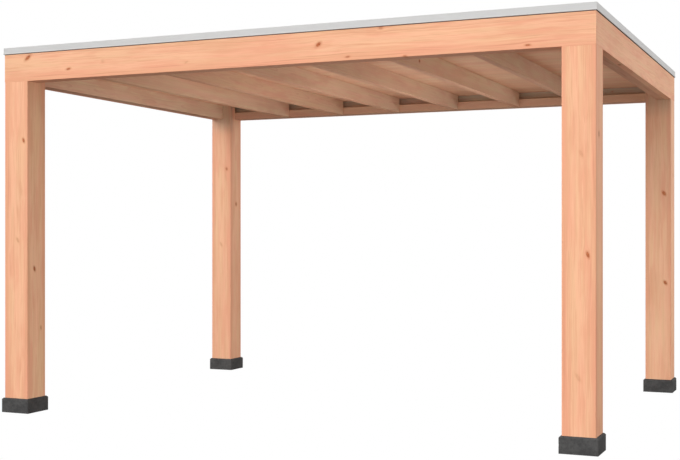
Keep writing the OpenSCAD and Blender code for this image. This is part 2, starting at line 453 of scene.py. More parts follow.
def concrete(name):
    T = Tree(name)
    P = T.attr("grain")
    big = T.noise(T.vec("MULTIPLY", P, (9.0, 9.0, 9.0)), 1.0, 4.0, 0.6)
    mid = T.noise(T.vec("MULTIPLY", P, (55.0, 55.0, 55.0)), 1.0, 3.0, 0.6)
    fine = T.noise(T.vec("MULTIPLY", P, (700.0, 700.0, 700.0)), 1.0, 2.0, 0.6)
    hole, cellc = T.voronoi(T.vec("MULTIPLY", P, (150.0, 150.0, 150.0)), out=("Distance", "Color"))
    pick = T.split(cellc)[0]
    pore = T.math("MULTIPLY", T.range(hole, 0.34, 0.16), T.math("LESS_THAN", pick, 0.22))
    f = T.math("ADD", T.math("MULTIPLY", big, 0.55), T.math("MULTIPLY", mid, 0.45))
    col = T.mix(T.range(f, 0.35, 0.66), (0.051, 0.0512, 0.0515), (0.086, 0.0860, 0.0855))
    col = T.mix(T.math("MULTIPLY", T.range(fine, 0.58, 0.80), 0.35), col, (0.145, 0.145, 0.143))
    col = T.mix(T.math("MULTIPLY", pore, 0.8), col, (0.028, 0.027, 0.026))
    T.put(T.bsdf.inputs["Base Color"], col)
    T.put(T.bsdf.inputs["Roughness"], T.range(f, 0.3, 0.7, 0.78, 0.92))
    T.bsdf.inputs["Specular IOR Level"].default_value = 0.18
    h = T.math("ADD", T.math("MULTIPLY", mid, 0.35), T.math("MULTIPLY", fine, 0.30))
    h = T.math("SUBTRACT", h, T.math("MULTIPLY", pore, 1.0))
    T.put(T.bsdf.inputs["Normal"], T.bump(h, 0.6, 0.0012))
    return T.mat


def aluminium(name):
    T = Tree(name)
    P = T.attr("grain")
    roll = T.noise(T.vec("MULTIPLY", P, (3.0, 900.0, 900.0)), 1.0, 2.0, 0.6)
    cloud = T.noise(T.vec("MULTIPLY", P, (2.2, 14.0, 14.0)), 1.0, 4.0, 0.6)
    speck = T.noise(T.vec("MULTIPLY", P, (60.0, 60.0, 60.0)), 1.0, 3.0, 0.6)
    col = T.mix(T.range(cloud, 0.3, 0.7), (0.700, 0.703, 0.706), (0.755, 0.757, 0.760))
    col = T.mix(T.math("MULTIPLY", T.range(roll, 0.35, 0.75), 0.25), col, (0.650, 0.655, 0.660))
    T.put(T.bsdf.inputs["Base Color"], col)
    T.bsdf.inputs["Metallic"].default_value = 0.70
    r = T.math("ADD", T.range(cloud, 0.3, 0.7, 0.48, 0.58), T.math("MULTIPLY", roll, 0.06))
    r = T.math("ADD", r, T.math("MULTIPLY", T.range(speck, 0.60, 0.75), 0.08))
    T.put(T.bsdf.inputs["Roughness"], r)
    T.bsdf.inputs["Specular IOR Level"].default_value = 0.4
    wave = T.noise(T.vec("MULTIPLY", P, (1.7, 9.0, 9.0)), 1.0, 1.0, 0.4)
    n1 = T.bump(wave, 0.25, 0.004)
    T.put(T.bsdf.inputs["Normal"], T.bump(roll, 0.10, 0.0002, normal=n1))
    return T.mat


def rubber(name):
    T = Tree(name)
    P = T.attr("grain")
    cloud = T.noise(T.vec("MULTIPLY", P, (1.6, 1.6, 1.6)), 1.0, 5.0, 0.62)
    dust = T.noise(T.vec("MULTIPLY", P, (11.0, 11.0, 11.0)), 1.0, 4.0, 0.65)
    fine = T.noise(T.vec("MULTIPLY", P, (900.0, 900.0, 900.0)), 1.0, 2.0, 0.6)
    col = T.mix(T.range(cloud, 0.35, 0.70), (0.018, 0.018, 0.020), (0.034, 0.034, 0.036))
    col = T.mix(T.math("MULTIPLY", T.range(dust, 0.50, 0.78), 0.45), col, (0.075, 0.073, 0.070))
    T.put(T.bsdf.inputs["Base Color"], col)
    T.put(T.bsdf.inputs["Roughness"], T.range(dust, 0.3, 0.7, 0.52, 0.74))
    T.bsdf.inputs["Specular IOR Level"].default_value = 0.35
    h = T.math("ADD", T.math("MULTIPLY", fine, 0.4), T.math("MULTIPLY", dust, 0.6))
    T.put(T.bsdf.inputs["Normal"], T.bump(h, 0.25, 0.0015))
    return T.mat


def give(ob, mat, slot_name, *nodes):
    ob.data.materials.append(mat)
    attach(ob, "root")
    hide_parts(*nodes)
    return ob


# ------------------------------------------------------------------- posts
SIDES = {"front_left": (-1, -1), "front_right": (1, -1), "back_left": (-1, 1), "back_right": (1, 1)}
POST_R = 5 * mm

# along = height, across = x from the post's middle, through = y from its middle
h = POST / 2
POST_KNOTS = {
    "front_left": [
        (1.837, 0.062, -h, 0.016, 0.0085, -0.35, 1.1, "t"),
        (1.166, 0.013, -h, 0.022, 0.0095, -0.5, 0.28, "t"),
        (1.492, 0.040, -h, 0.028, 0.0160, 0.0, 0.07, "t"),
        (0.971, h, -0.022, 0.0165, 0.0095, -0.35, 1.2, "d"),
        (0.568, h, 0.047, 0.016, 0.0085, -0.1, 0.40, "d"),
        (0.480, -0.030, h, 0.013, 0.0090, 0.0, 0.8, "t"),
        (1.420, -h, 0.022, 0.014, 0.0090, 0.1, 0.85, "d"),
    ],
    "front_right": [
        (1.092, 0.050, -h, 0.0170, 0.0080, -0.32, 1.2, "t"),
        (1.644, 0.014, -h, 0.022, 0.0095, -0.5, 0.16, "t"),
        (0.421, -0.004, -h, 0.028, 0.0105, -0.55, 0.17, "t"),
        (1.754, h, -0.018, 0.017, 0.0130, 0.0, 0.9, "d"),
        (0.860, -h, 0.030, 0.013, 0.0090, 0.0, 0.85, "d"),
        (1.930, 0.020, h, 0.014, 0.0090, 0.0, 0.8, "t"),
    ],
    "back_left": [
        (1.790, 0.054, -h, 0.0145, 0.0110, -0.3, 0.68, "t"),
        (1.118, -0.002, -h, 0.024, 0.0100, -0.5, 0.22, "t"),
        (1.478, h, 0.006, 0.0165, 0.0135, -0.2, 0.85, "d"),
        (0.690, -0.028, h, 0.014, 0.0095, 0.0, 0.85, "t"),
        (1.200, -h, -0.020, 0.013, 0.0090, 0.0, 0.8, "d"),
    ],
    "back_right": [
        (1.519, 0.044, -h, 0.0172, 0.0102, -0.6, 1.6, "t"),
        (0.837, 0.054, -h, 0.0165, 0.0102, -0.6, 1.2, "t"),
        (1.660, h, 0.020, 0.015, 0.0090, 0.0, 0.85, "d"),
        (0.520, 0.015, h, 0.013, 0.0090, 0.0, 0.8, "t"),
    ],
}
POST_STREAKS = {
    "front_left": [(1.534, -0.067, -h, 0.60, 0.009, 0.5, "t"), (0.700, 0.080, -h, 0.55, 0.010, 0.4, "t")],
    "front_right": [(0.602, -0.081, -h, 0.62, 0.012, 0.5, "t"), (1.531, 0.081, -h, 0.28, 0.008, 0.6, "t")],
    "back_left": [(1.573, -0.068, -h, 0.55, 0.010, 0.5, "t")],
    "back_right": [(1.000, -0.070, -h, 0.55, 0.010, 0.4, "t")],
}

# painted light and shade: the front right post's lower front is made darker (toward PINK) and the back right post's
# lower front lighter (toward LIGHT), for how the light falls near the floor
POST_PAINTED_LIGHT_AND_SHADE = {
    "front_right": [(0.420, 0.0, -h, 0.50, 0.16, 0.40, "t")],
    "back_right": [(0.470, 0.0, -h, 0.30, 0.14, -1.0, "t")],
}


def make_post(key):
    sx, sy = SIDES[key]
    name = "post_" + key
    mx, my = sx * (HALF_W - h), sy * (HALF_D - h)
    lap = HALF_W - CLEAR_W
    n = h - lap                                  # the core's outer sides

    def place(a, b, c):
        return Vector((mx + sx * a, my + sy * b, c))

    bm = bmesh.new()
    zf, zs, zt = POST_FOOT, HEAD, JOIST_TOP
    # a is outward in x, b outward in y
    ring = [(-h, -h), (n, -h), (h, -h), (h, h), (-h, h), (-h, n)]
    low = [bm.verts.new(place(a, b, zf)) for a, b in ring]
    mid = [bm.verts.new(place(a, b, zs)) for a, b in ring]
    core = [(-h, -h), (n, -h), (n, n), (-h, n)]
    top = [bm.verts.new(place(a, b, zt)) for a, b in core]
    inner = bm.verts.new(place(n, n, zs))
    bm.faces.new(low)
    for i in range(6):
        j = (i + 1) % 6
        bm.faces.new((low[i], low[j], mid[j], mid[i]))
    bm.faces.new((mid[1], mid[2], mid[3], mid[4], mid[5], inner))
    bm.faces.new((mid[0], mid[1], top[1], top[0]))
    bm.faces.new((mid[1], inner, top[2], top[1]))
    bm.faces.new((inner, mid[5], top[3], top[2]))
    bm.faces.new((mid[5], mid[0], top[0], top[3]))
    bm.faces.new(top)
    bmesh.ops.dissolve_edges(bm, edges=[e for e in bm.edges if along(e, 2) and not e.is_boundary
                                        and len(e.link_faces) == 2
                                        and e.link_faces[0].normal.length
                                        and abs(e.calc_face_angle(0.0)) < 1e-4], use_verts=False)
    bmesh.ops.recalc_face_normals(bm, faces=bm.faces)

    def arris(e):
        if not along(e, 2):
            return False
        x = (e.verts[0].co.x - mx) * sx
        y = (e.verts[0].co.y - my) * sy
        return near(abs(x), h) and near(abs(y), h)

    bevel(bm, arris, POST_R, 4)

    def ends(e):
        z0, z1 = e.verts[0].co.z, e.verts[1].co.z
        if near(z0, zf) and near(z1, zf):
            return True
        if near(z0, zs) and near(z1, zs):
            m = (e.verts[0].co + e.verts[1].co) / 2
            x, y = (m.x - mx) * sx, (m.y - my) * sy
            return (x > n + 1e-4 or y > n + 1e-4) and not (near(x, n) or near(y, n)) and e.calc_face_angle(0.0) > 0.5
        return False

    bevel(bm, ends, 0.8 * mm, 2)
    ob = finish_mesh(bm, "vis_" + name)
    set_grain(ob, lambda c: (c.z, c.x - mx, c.y - my))
    rnd = random.Random(key)
    # painted light and shade on the posts: the back posts' tint is toned cooler for the light under the roof; the left
    # front post's inner face is made lighter; the back posts' heads are made darker under the beams on their front
    # side; and the back right post is made lighter below about 1.3 m
    mat = wood("timber_" + name, seed={"front_left": 1.3, "front_right": 2.9, "back_left": 4.1, "back_right": 5.7}[key],
               pith=(rnd.uniform(-0.005, 0.005), rnd.uniform(-0.005, 0.005)),
               knots=POST_KNOTS[key], streaks=POST_STREAKS[key], clouds=POST_PAINTED_LIGHT_AND_SHADE.get(key, ()), pitch=0.0052, pink=(0.106, 0.126), heart_mix=1.0,
               streak=0.8 if key.startswith("back") else 1.0, calm=True,
               painted_light_tint={"back_left": (0.975, 1.005, 1.025), "back_right": (0.985, 1.05, 1.08)}.get(key, (1.0, 1.0, 1.0)),
               sides={"front_left": [("t", h, -1, (1.11, 1.21, 1.22))],
                      "back_left": [("S", HEAD, 1, (0.83, 1.00, 1.10))],
                      "back_right": [("S", HEAD, 1, (0.81, 0.91, 0.95)), ("s", 1.3, -1.5, (1.045, 1.025, 1.015))]}.get(key, ()))
    return give(ob, mat, "post_timber", name)


for k in SIDES:
    make_post(k)

# ----------------------------------------------------------------- plinths


def make_plinth(key):
    name = "plinth_" + key
    lo_, hi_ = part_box(name)
    c = (lo_ + hi_) / 2
    half = (hi_.x - lo_.x) / 2
    top = hi_.z
    bev = 8 * mm
    bm = bmesh.new()
    bmesh.ops.create_cube(bm, size=1.0)
    for v in bm.verts:
        v.co = Vector((c.x + v.co.x * 2 * half, c.y + v.co.y * 2 * half, (v.co.z + 0.5) * top))
    bevel(bm, lambda e: near(e.verts[0].co.z, top) and near(e.verts[1].co.z, top), bev, 1)
    bevel(bm, lambda e: e.calc_face_angle(0.0) > 0.3 and not (near(e.verts[0].co.z, 0) and near(e.verts[1].co.z, 0)), 1.6 * mm, 2)
    bmesh.ops.subdivide_edges(bm, edges=[e for e in bm.edges if e.calc_length() > 0.03], cuts=30,
                              use_grid_fill=True)
    bmesh.ops.triangulate(bm, faces=[f for f in bm.faces if len(f.verts) > 4])
    bm.normal_update()
    off = Vector((7.3 * c.x, 5.1 * c.y, 1.7))
    for v in bm.verts:
        if v.co.z < 0.5 * mm:
            continue
        p = v.co * 1.0 + off
        a = noise.noise(p * 22.0) * 0.5 + noise.noise(p * 70.0) * 0.35 + noise.noise(p * 190.0) * 0.2
        e = noise.noise(p * 45.0 + Vector((3, 1, 2)))
        # how near an edge the point is: two of the three distances small
        dx, dy, dz = half - abs(v.co.x - c.x), half - abs(v.co.y - c.y), top - v.co.z
        edge = sorted((max(dx, 0), max(dy, 0), max(dz, 0)))[1]
        chip = max(0.0, 1 - edge / (9 * mm)) * max(0.0, e - 0.18) * 3.2 * mm
        v.co -= v.normal * (max(0.0, 0.18 * mm + a * 0.30 * mm) + chip)
    ob = finish_mesh(bm, "vis_" + name, smooth=60)
    ob.modifiers.clear()
    rnd = random.Random(key)
    o = [rnd.uniform(0, 9) for _ in range(3)]
    set_grain(ob, lambda q: (q.x + o[0], q.y + o[1], q.z + o[2]))
    return give(ob, MAT_CONCRETE, "plinth", name)


MAT_CONCRETE = concrete("cast_concrete")
for k in SIDES:
    make_plinth(k)

# ---------------------------------------------------------- fascia boards
# along = the board's length, across = height from the board's middle,
# through = outward
FM = (HEAD + FASCIA_TOP) / 2
FASCIA_KNOTS = {
    "front": [
        (-1.808, 2.391 - FM, -HALF_D, 0.026, 0.0115, 0.62, 1.0, "t"),
        (0.341, 2.341 - FM, -HALF_D, 0.0195, 0.0110, 0.62, 1.0, "t"),
        (-1.476, 2.298 - FM, -HALF_D, 0.0175, 0.0080, 0.15, 0.85, "t"),
        (0.743, 2.415 - FM, -HALF_D, 0.0150, 0.0100, 0.0, 0.50, "t"),
        (0.532, 2.256 - FM, -HALF_D, 0.0150, 0.0060, 0.1, 0.65, "t"),
        (1.621, 2.255 - FM, -HALF_D, 0.0160, 0.0062, 0.0, 0.85, "t"),
        (-1.205, 2.334 - FM, -HALF_D, 0.0150, 0.0110, 0.0, 0.15, "t"),
        (-0.575, 2.289 - FM, -HALF_D, 0.0140, 0.0065, 0.4, 0.18, "t"),
        (0.894, 2.239 - FM, -HALF_D, 0.0120, 0.0060, 0.0, 0.6, "t"),
    ],
    "back": [
        (-1.120, 2.300 - FM, HALF_D, 0.0180, 0.0085, 0.3, 0.9, "t"),
        (0.480, 2.385 - FM, HALF_D, 0.0170, 0.0080, -0.4, 0.85, "t"),
        (1.530, 2.330 - FM, HALF_D, 0.0150, 0.0070, 0.1, 0.7, "t"),
    ],
    "left": [
        (0.620, 2.330 - FM, -HALF_W, 0.0170, 0.0080, 0.3, 0.85, "t"),
        (-0.780, 2.290 - FM, -HALF_W, 0.0140, 0.0070, 0.0, 0.6, "t"),
    ],
    "right": [(-0.668, HEAD - FM, HALF_W - 0.026, 0.026, 0.0100, 0.0, 0.9, "d")],
}
FASCIA_STREAKS = {
    "front": [
        (0.937, 2.268 - FM, -HALF_D, 0.26, 0.0055, 0.55, "t"),
        (1.030, 2.279 - FM, -HALF_D, 0.22, 0.0050, 0.45, "t"),
        (1.409, 2.257 - FM, -HALF_D, 0.16, 0.0050, 0.45, "t"),
        (-0.434, 2.263 - FM, -HALF_D, 0.16, 0.0055, 0.5, "t"),
        (1.200, 2.262 - FM, -HALF_D, 0.50, 0.0130, 0.22, "t"),
        (-1.150, 2.252 - FM, -HALF_D, 0.42, 0.0050, 0.85, "t"),
        (-0.780, 2.268 - FM, -HALF_D, 0.36, 0.0050, 0.85, "t"),
        (-0.150, 2.246 - FM, -HALF_D, 0.55, 0.0050, 0.85, "t"),
        (0.120, 2.259 - FM, -HALF_D, 0.48, 0.0050, 0.85, "t"),
        (0.460, 2.272 - FM, -HALF_D, 0.44, 0.0050, 0.85, "t"),
        (0.760, 2.250 - FM, -HALF_D, 0.40, 0.0050, 0.85, "t"),
        (1.560, 2.270 - FM, -HALF_D, 0.35, 0.0050, 0.85, "t"),
        (-1.620, 2.262 - FM, -HALF_D, 0.30, 0.0050, 0.85, "t"),
    ],
}

FASCIA_CLOUDS = {
    "front": [
        (-1.48, 2.272 - FM, -HALF_D, 0.62, 0.055, 1.0, "t"),
        (-0.10, 2.330 - FM, -HALF_D, 0.60, 0.140, 0.85, "t"),
        (1.00, 2.270 - FM, -HALF_D, 0.80, 0.045, 0.9, "t"),
        (0.00, 2.226 - FM, -HALF_D, 3.60, 0.085, 1.0, "t"),
    ],
}


def make_fascia(side):
    name = "fascia_" + side
    long = side in ("front", "back")
    s = -1 if side in ("front", "left") else 1
    bm = bmesh.new()
    if long:
        plan = [(-HALF_W, s * HALF_D), (HALF_W, s * HALF_D), (IN_W, s * IN_D), (-IN_W, s * IN_D)]
    else:
        plan = [(s * HALF_W, -HALF_D), (s * HALF_W, HALF_D), (s * IN_W, IN_D), (s * IN_W, -IN_D)]
    prism(bm, plan, HEAD, FASCIA_TOP, lambda a, b, c: Vector((a, b, c)))
    bmesh.ops.recalc_face_normals(bm, faces=bm.faces)
    ax = 0 if long else 1
    # the foot arrises, then the thin edges of the mitres
    bevel(bm, lambda e: along(e, ax) and near(e.verts[0].co.z, HEAD), 1.6 * mm, 3)
    bevel(bm, lambda e: along(e, ax) and near(e.verts[0].co.z, FASCIA_TOP), 1.0 * mm, 1)
    bevel(bm, lambda e: along(e, 2) and near(abs(e.verts[0].co[ax]), HALF_W if long else HALF_D), 0.7 * mm, 1)
    ob = finish_mesh(bm, "vis_" + name)
    if long:
        set_grain(ob, lambda c: (c.x, c.z - FM, c.y))
    else:
        set_grain(ob, lambda c: (c.y, c.z - FM, c.x))
    seeds = {"front": 7.2, "back": 8.6, "left": 9.4, "right": 10.8}
    if side == "front":
        pith = (0.105, -HALF_D + 0.075)
    else:
        rnd = random.Random("f" + side)
        out = s * (HALF_D if long else HALF_W)
        pith = (rnd.choice((-1, 1)) * rnd.uniform(0.09, 0.13), out - s * rnd.uniform(0.06, 0.12))
    # painted light and shade: the inner faces of the fascia boards, under the roof, are toned less red and cooler for
    # the light in the recess there, the back one most
    mat = wood("timber_" + name, seed=seeds[side], pith=pith, knots=FASCIA_KNOTS.get(side, ()),
               streaks=FASCIA_STREAKS.get(side, ()), clouds=FASCIA_CLOUDS.get(side, ()), pitch=0.0050,
               pink=(0.17, 0.25), rings=1.35, streak=1.15 if side == "front" else 1.0,
               sides=[("d", s * (IN_D if long else IN_W), s, (0.78, 1.23, 1.57) if side == "back" else (0.84, 1.05, 1.20))])
    return give(ob, mat, "fascia_timber", name)


for k in ("front", "back", "left", "right"):
    make_fascia(k)

# --------------------------------------------------------- roof timbers


def make_bearer(side):
    name = "bearer_" + side
    lo_, hi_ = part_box(name)
    bm = bmesh.new()
    prism(bm, [(lo_.y, lo_.z), (hi_.y, lo_.z), (hi_.y, hi_.z), (lo_.y, hi_.z)], lo_.x, hi_.x,
          lambda a, b, c: Vector((c, a, b)))
    bmesh.ops.recalc_face_normals(bm, faces=bm.faces)
    bevel(bm, lambda e: along(e, 0), 2.0 * mm, 2)
    ob = finish_mesh(bm, "vis_" + name)
    my = (lo_.y + hi_.y) / 2
    mz = (lo_.z + hi_.z) / 2
    set_grain(ob, lambda c: (c.x, c.z - mz, c.y - my))
    # tone 0.91 and the tint are painted shade: the bearers under the roof are made darker and cooler for the light
    # there
    mat = wood("timber_" + name, seed=12.1 if side == "front" else 13.5, pith=(0.10, 0.06), pitch=0.0048,
               pink=(0.08, 0.16), tone=0.91, painted_light_tint=(1.05, 1.12, 1.14) if side == "front" else (0.90, 1.06, 1.15))
    return give(ob, mat, "roof_timber", name)


JOIST_CLOUDS = {"right": [(-1.02, 0.010, 0.20), (-0.42, -0.006, 0.17), (0.30, 0.006, 0.26)]}
JOIST_STREAKS = {"right": [(-0.80, 0.012, 0.22), (-0.20, -0.010, 0.24), (0.62, 0.008, 0.30), (-1.20, -0.014, 0.18)]}


def make_side_joist(side):
    name = "side_joist_" + side
    lo_, hi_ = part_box(name)
    bm = bmesh.new()
    prism(bm, [(lo_.x, lo_.z), (hi_.x, lo_.z), (hi_.x, hi_.z), (lo_.x, hi_.z)], lo_.y, hi_.y,
          lambda a, b, c: Vector((a, c, b)))
    bmesh.ops.recalc_face_normals(bm, faces=bm.faces)
    bevel(bm, lambda e: along(e, 1), 2.0 * mm, 2)
    ob = finish_mesh(bm, "vis_" + name)
    mx = (lo_.x + hi_.x) / 2
    mz = (lo_.z + hi_.z) / 2
    set_grain(ob, lambda c: (c.y, c.z - mz, c.x - mx))
    # painted light and shade: the joist is tinted cooler for the light under the roof, and its underside is toned
    # darker and redder for the shade under the beam
    mat = wood("timber_" + name, seed=14.9 if side == "left" else 16.3, pith=(-0.02, 0.11), pitch=0.0048,
               pink=(0.10, 0.16), streak=0.6 if side == "left" else 1.1, painted_light_tint=(0.99, 1.28, 1.47),
               clouds=[(a, lo_.z - mz, b, c, 0.045, 0.9, "d") for a, b, c in JOIST_CLOUDS.get(side, ())],
               streaks=[(a, lo_.z - mz, b, c, 0.011, 0.8, "d") for a, b, c in JOIST_STREAKS.get(side, ())],
               sides=[("t", lo_.z - mz, 1, (0.82, 0.68, 0.64) if side == "left" else (0.80, 0.64, 0.575))])
    return give(ob, mat, "roof_timber", name)


RAFTER_KNOTS = {5: [(-0.985, -0.010, 0.0225, 0.013, 0.0105, 0.0, 0.8, "t")]}
# painted light and shade on the rafters: each is tinted cooler for the light under the roof, rafters 4 and 5 darken
# towards their back ends in the shade by the back bearer, and the undersides are toned darker and redder
RAFTER_PAINTED_LIGHT_TINT = {1: (1.01, 1.29, 1.49), 2: (0.960, 1.18, 1.34), 3: (0.985, 1.26, 1.47), 4: (0.96, 1.25, 1.47),
               5: (1.04, 1.47, 1.75), 6: (0.895, 1.24, 1.49)}
RAFTER_END_PAINTED_SHADE = {4: [("s", 1.2, 4, (0.955, 0.95, 0.955))], 5: [("s", 1.2, 4, (0.91, 0.85, 0.84))]}
RAFTER_UNDERSIDE_PAINTED_SHADE = {1: (0.94, 0.78, 0.68), 2: (0.96, 0.79, 0.69)}


def make_rafter(i):
    name = "rafter_%d" % i
    lo_, hi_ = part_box(name)
    outline = [(-CLEAR_D, HEAD), (CLEAR_D, HEAD), (CLEAR_D, JOIST_TOP), (-CLEAR_D, JOIST_TOP)]
    bm = bmesh.new()
    prism(bm, outline, lo_.x, hi_.x, lambda a, b, c: Vector((c, a, b)))
    bmesh.ops.recalc_face_normals(bm, faces=bm.faces)
    bevel(bm, lambda e: along(e, 1) and e.calc_length() > 1.0, 2.0 * mm, 2)
    ob = finish_mesh(bm, "vis_" + name)
    mx = (lo_.x + hi_.x) / 2
    mz = (lo_.z + hi_.z) / 2
    set_grain(ob, lambda c: (c.y, c.z - mz, c.x - mx))
    rnd = random.Random("rafter%d" % i)
    mat = wood("timber_" + name, seed=18.0 + 1.37 * i, pith=(rnd.uniform(-0.09, 0.09), rnd.choice((-1, 1)) * rnd.uniform(0.05, 0.10)),
               pitch=0.0046, pink=(0.09, 0.16), knots=RAFTER_KNOTS.get(i, ()), tone=rnd.uniform(0.98, 1.02),
               streak=0.5, painted_light_tint=RAFTER_PAINTED_LIGHT_TINT.get(i, (0.975, 1.22, 1.40)), sides=[("t", lo_.z - mz, 1, RAFTER_UNDERSIDE_PAINTED_SHADE.get(i, (1.02, 0.80, 0.70)))] + RAFTER_END_PAINTED_SHADE.get(i, []))
    return give(ob, mat, "roof_timber", name)


for k in ("front", "back"):
    make_bearer(k)
for k in ("left", "right"):
    make_side_joist(k)
for i in range(1, 7):
    make_rafter(i)

# -------------------------------------------------------------- deck boards


def make_deck():
    """Tongue and groove boards, side by side from front to back, with a small V
    between them on the underside."""
    count = 20
    w = 2 * IN_D / count
    t = DECK_HI - DECK_LO
    v = 2.6 * mm
    gap = 0.25 * mm
    rnd = random.Random(77)
    bm = bmesh.new()
    tags = []
    for k in range(count):
        y0 = -IN_D + k * w + (gap if k else 0)
        y1 = -IN_D + (k + 1) * w - (gap if k < count - 1 else 0)
        z0, z1 = DECK_LO, DECK_HI
        zm = z0 + 0.52 * t
        pts = [(y0, z0 + v if k else z0)]
        if k:
            pts = [(y0, z0 + v), (y0 + v, z0)]
        else:
            pts = [(y0, z0)]
        pts += [(y1 - v, z0), (y1, z0 + v)] if k < count - 1 else [(y1, z0)]
        if k < count - 1:                       # tongue
            pts += [(y1, zm - 2.4 * mm), (y1 + 5.2 * mm, zm - 2.0 * mm), (y1 + 5.2 * mm, zm + 2.0 * mm), (y1, zm + 2.4 * mm)]
        pts += [(y1, z1), (y0, z1)]
        if k:                                   # groove
            pts += [(y0, zm + 2.8 * mm), (y0 + 6.2 * mm, zm + 2.5 * mm), (y0 + 6.2 * mm, zm - 2.5 * mm), (y0, zm - 2.8 * mm)]
        prism(bm, pts, -IN_W, IN_W, lambda a, b, c: Vector((c, a, b)))
        tags.append((rnd.random(), rnd.random(), rnd.random()))
    ob = finish_mesh(bm, "vis_roof_deck", smooth=20)
    ob.modifiers.clear()
    for p in ob.data.polygons:
        p.use_smooth = False

    # which board a vertex belongs to, from its island
    me = ob.data
    parent = list(range(len(me.vertices)))

    def root(a):
        while parent[a] != a:
            parent[a] = parent[parent[a]]
            a = parent[a]
        return a

    for e in me.edges:
        a, b = root(e.vertices[0]), root(e.vertices[1])
        if a != b:
            parent[a] = b
    groups = {}
    for vtx in me.vertices:
        groups.setdefault(root(vtx.index), []).append(vtx.index)
    order = sorted(groups.values(), key=lambda g: sum(me.vertices[q].co.y for q in g) / len(g))
    board_of = {}
    for k, g in enumerate(order):
        for q in g:
            board_of[q] = k
    ga = me.attributes.new("grain", "FLOAT_VECTOR", "POINT")
    ba = me.attributes.new("board", "FLOAT_VECTOR", "POINT")
    gv, bv = [], []
    for vtx in me.vertices:
        k = board_of[vtx.index]
        mid = -IN_D + (k + 0.5) * w
        flip = 1 if tags[k][1] > 0.5 else -1
        gv.extend((vtx.co.x * flip, (vtx.co.y - mid), vtx.co.z - DECK_LO))
        bv.extend(tags[k])
    ga.data.foreach_set("vector", gv)
    ba.data.foreach_set("vector", bv)
    # the tint is painted light: the deck under the roof is toned lighter and cooler for the light there
    mat = wood("timber_deck", seed=31.7, pith=(0.0, -0.055), pitch=0.0042, pink=(0.05, 0.12),
               boards=True, painted_light_tint=(1.07, 1.20, 1.25))
    return give(ob, mat, "deck_boards", "roof_deck")


make_deck()

# ------------------------------------------------------------------ membrane


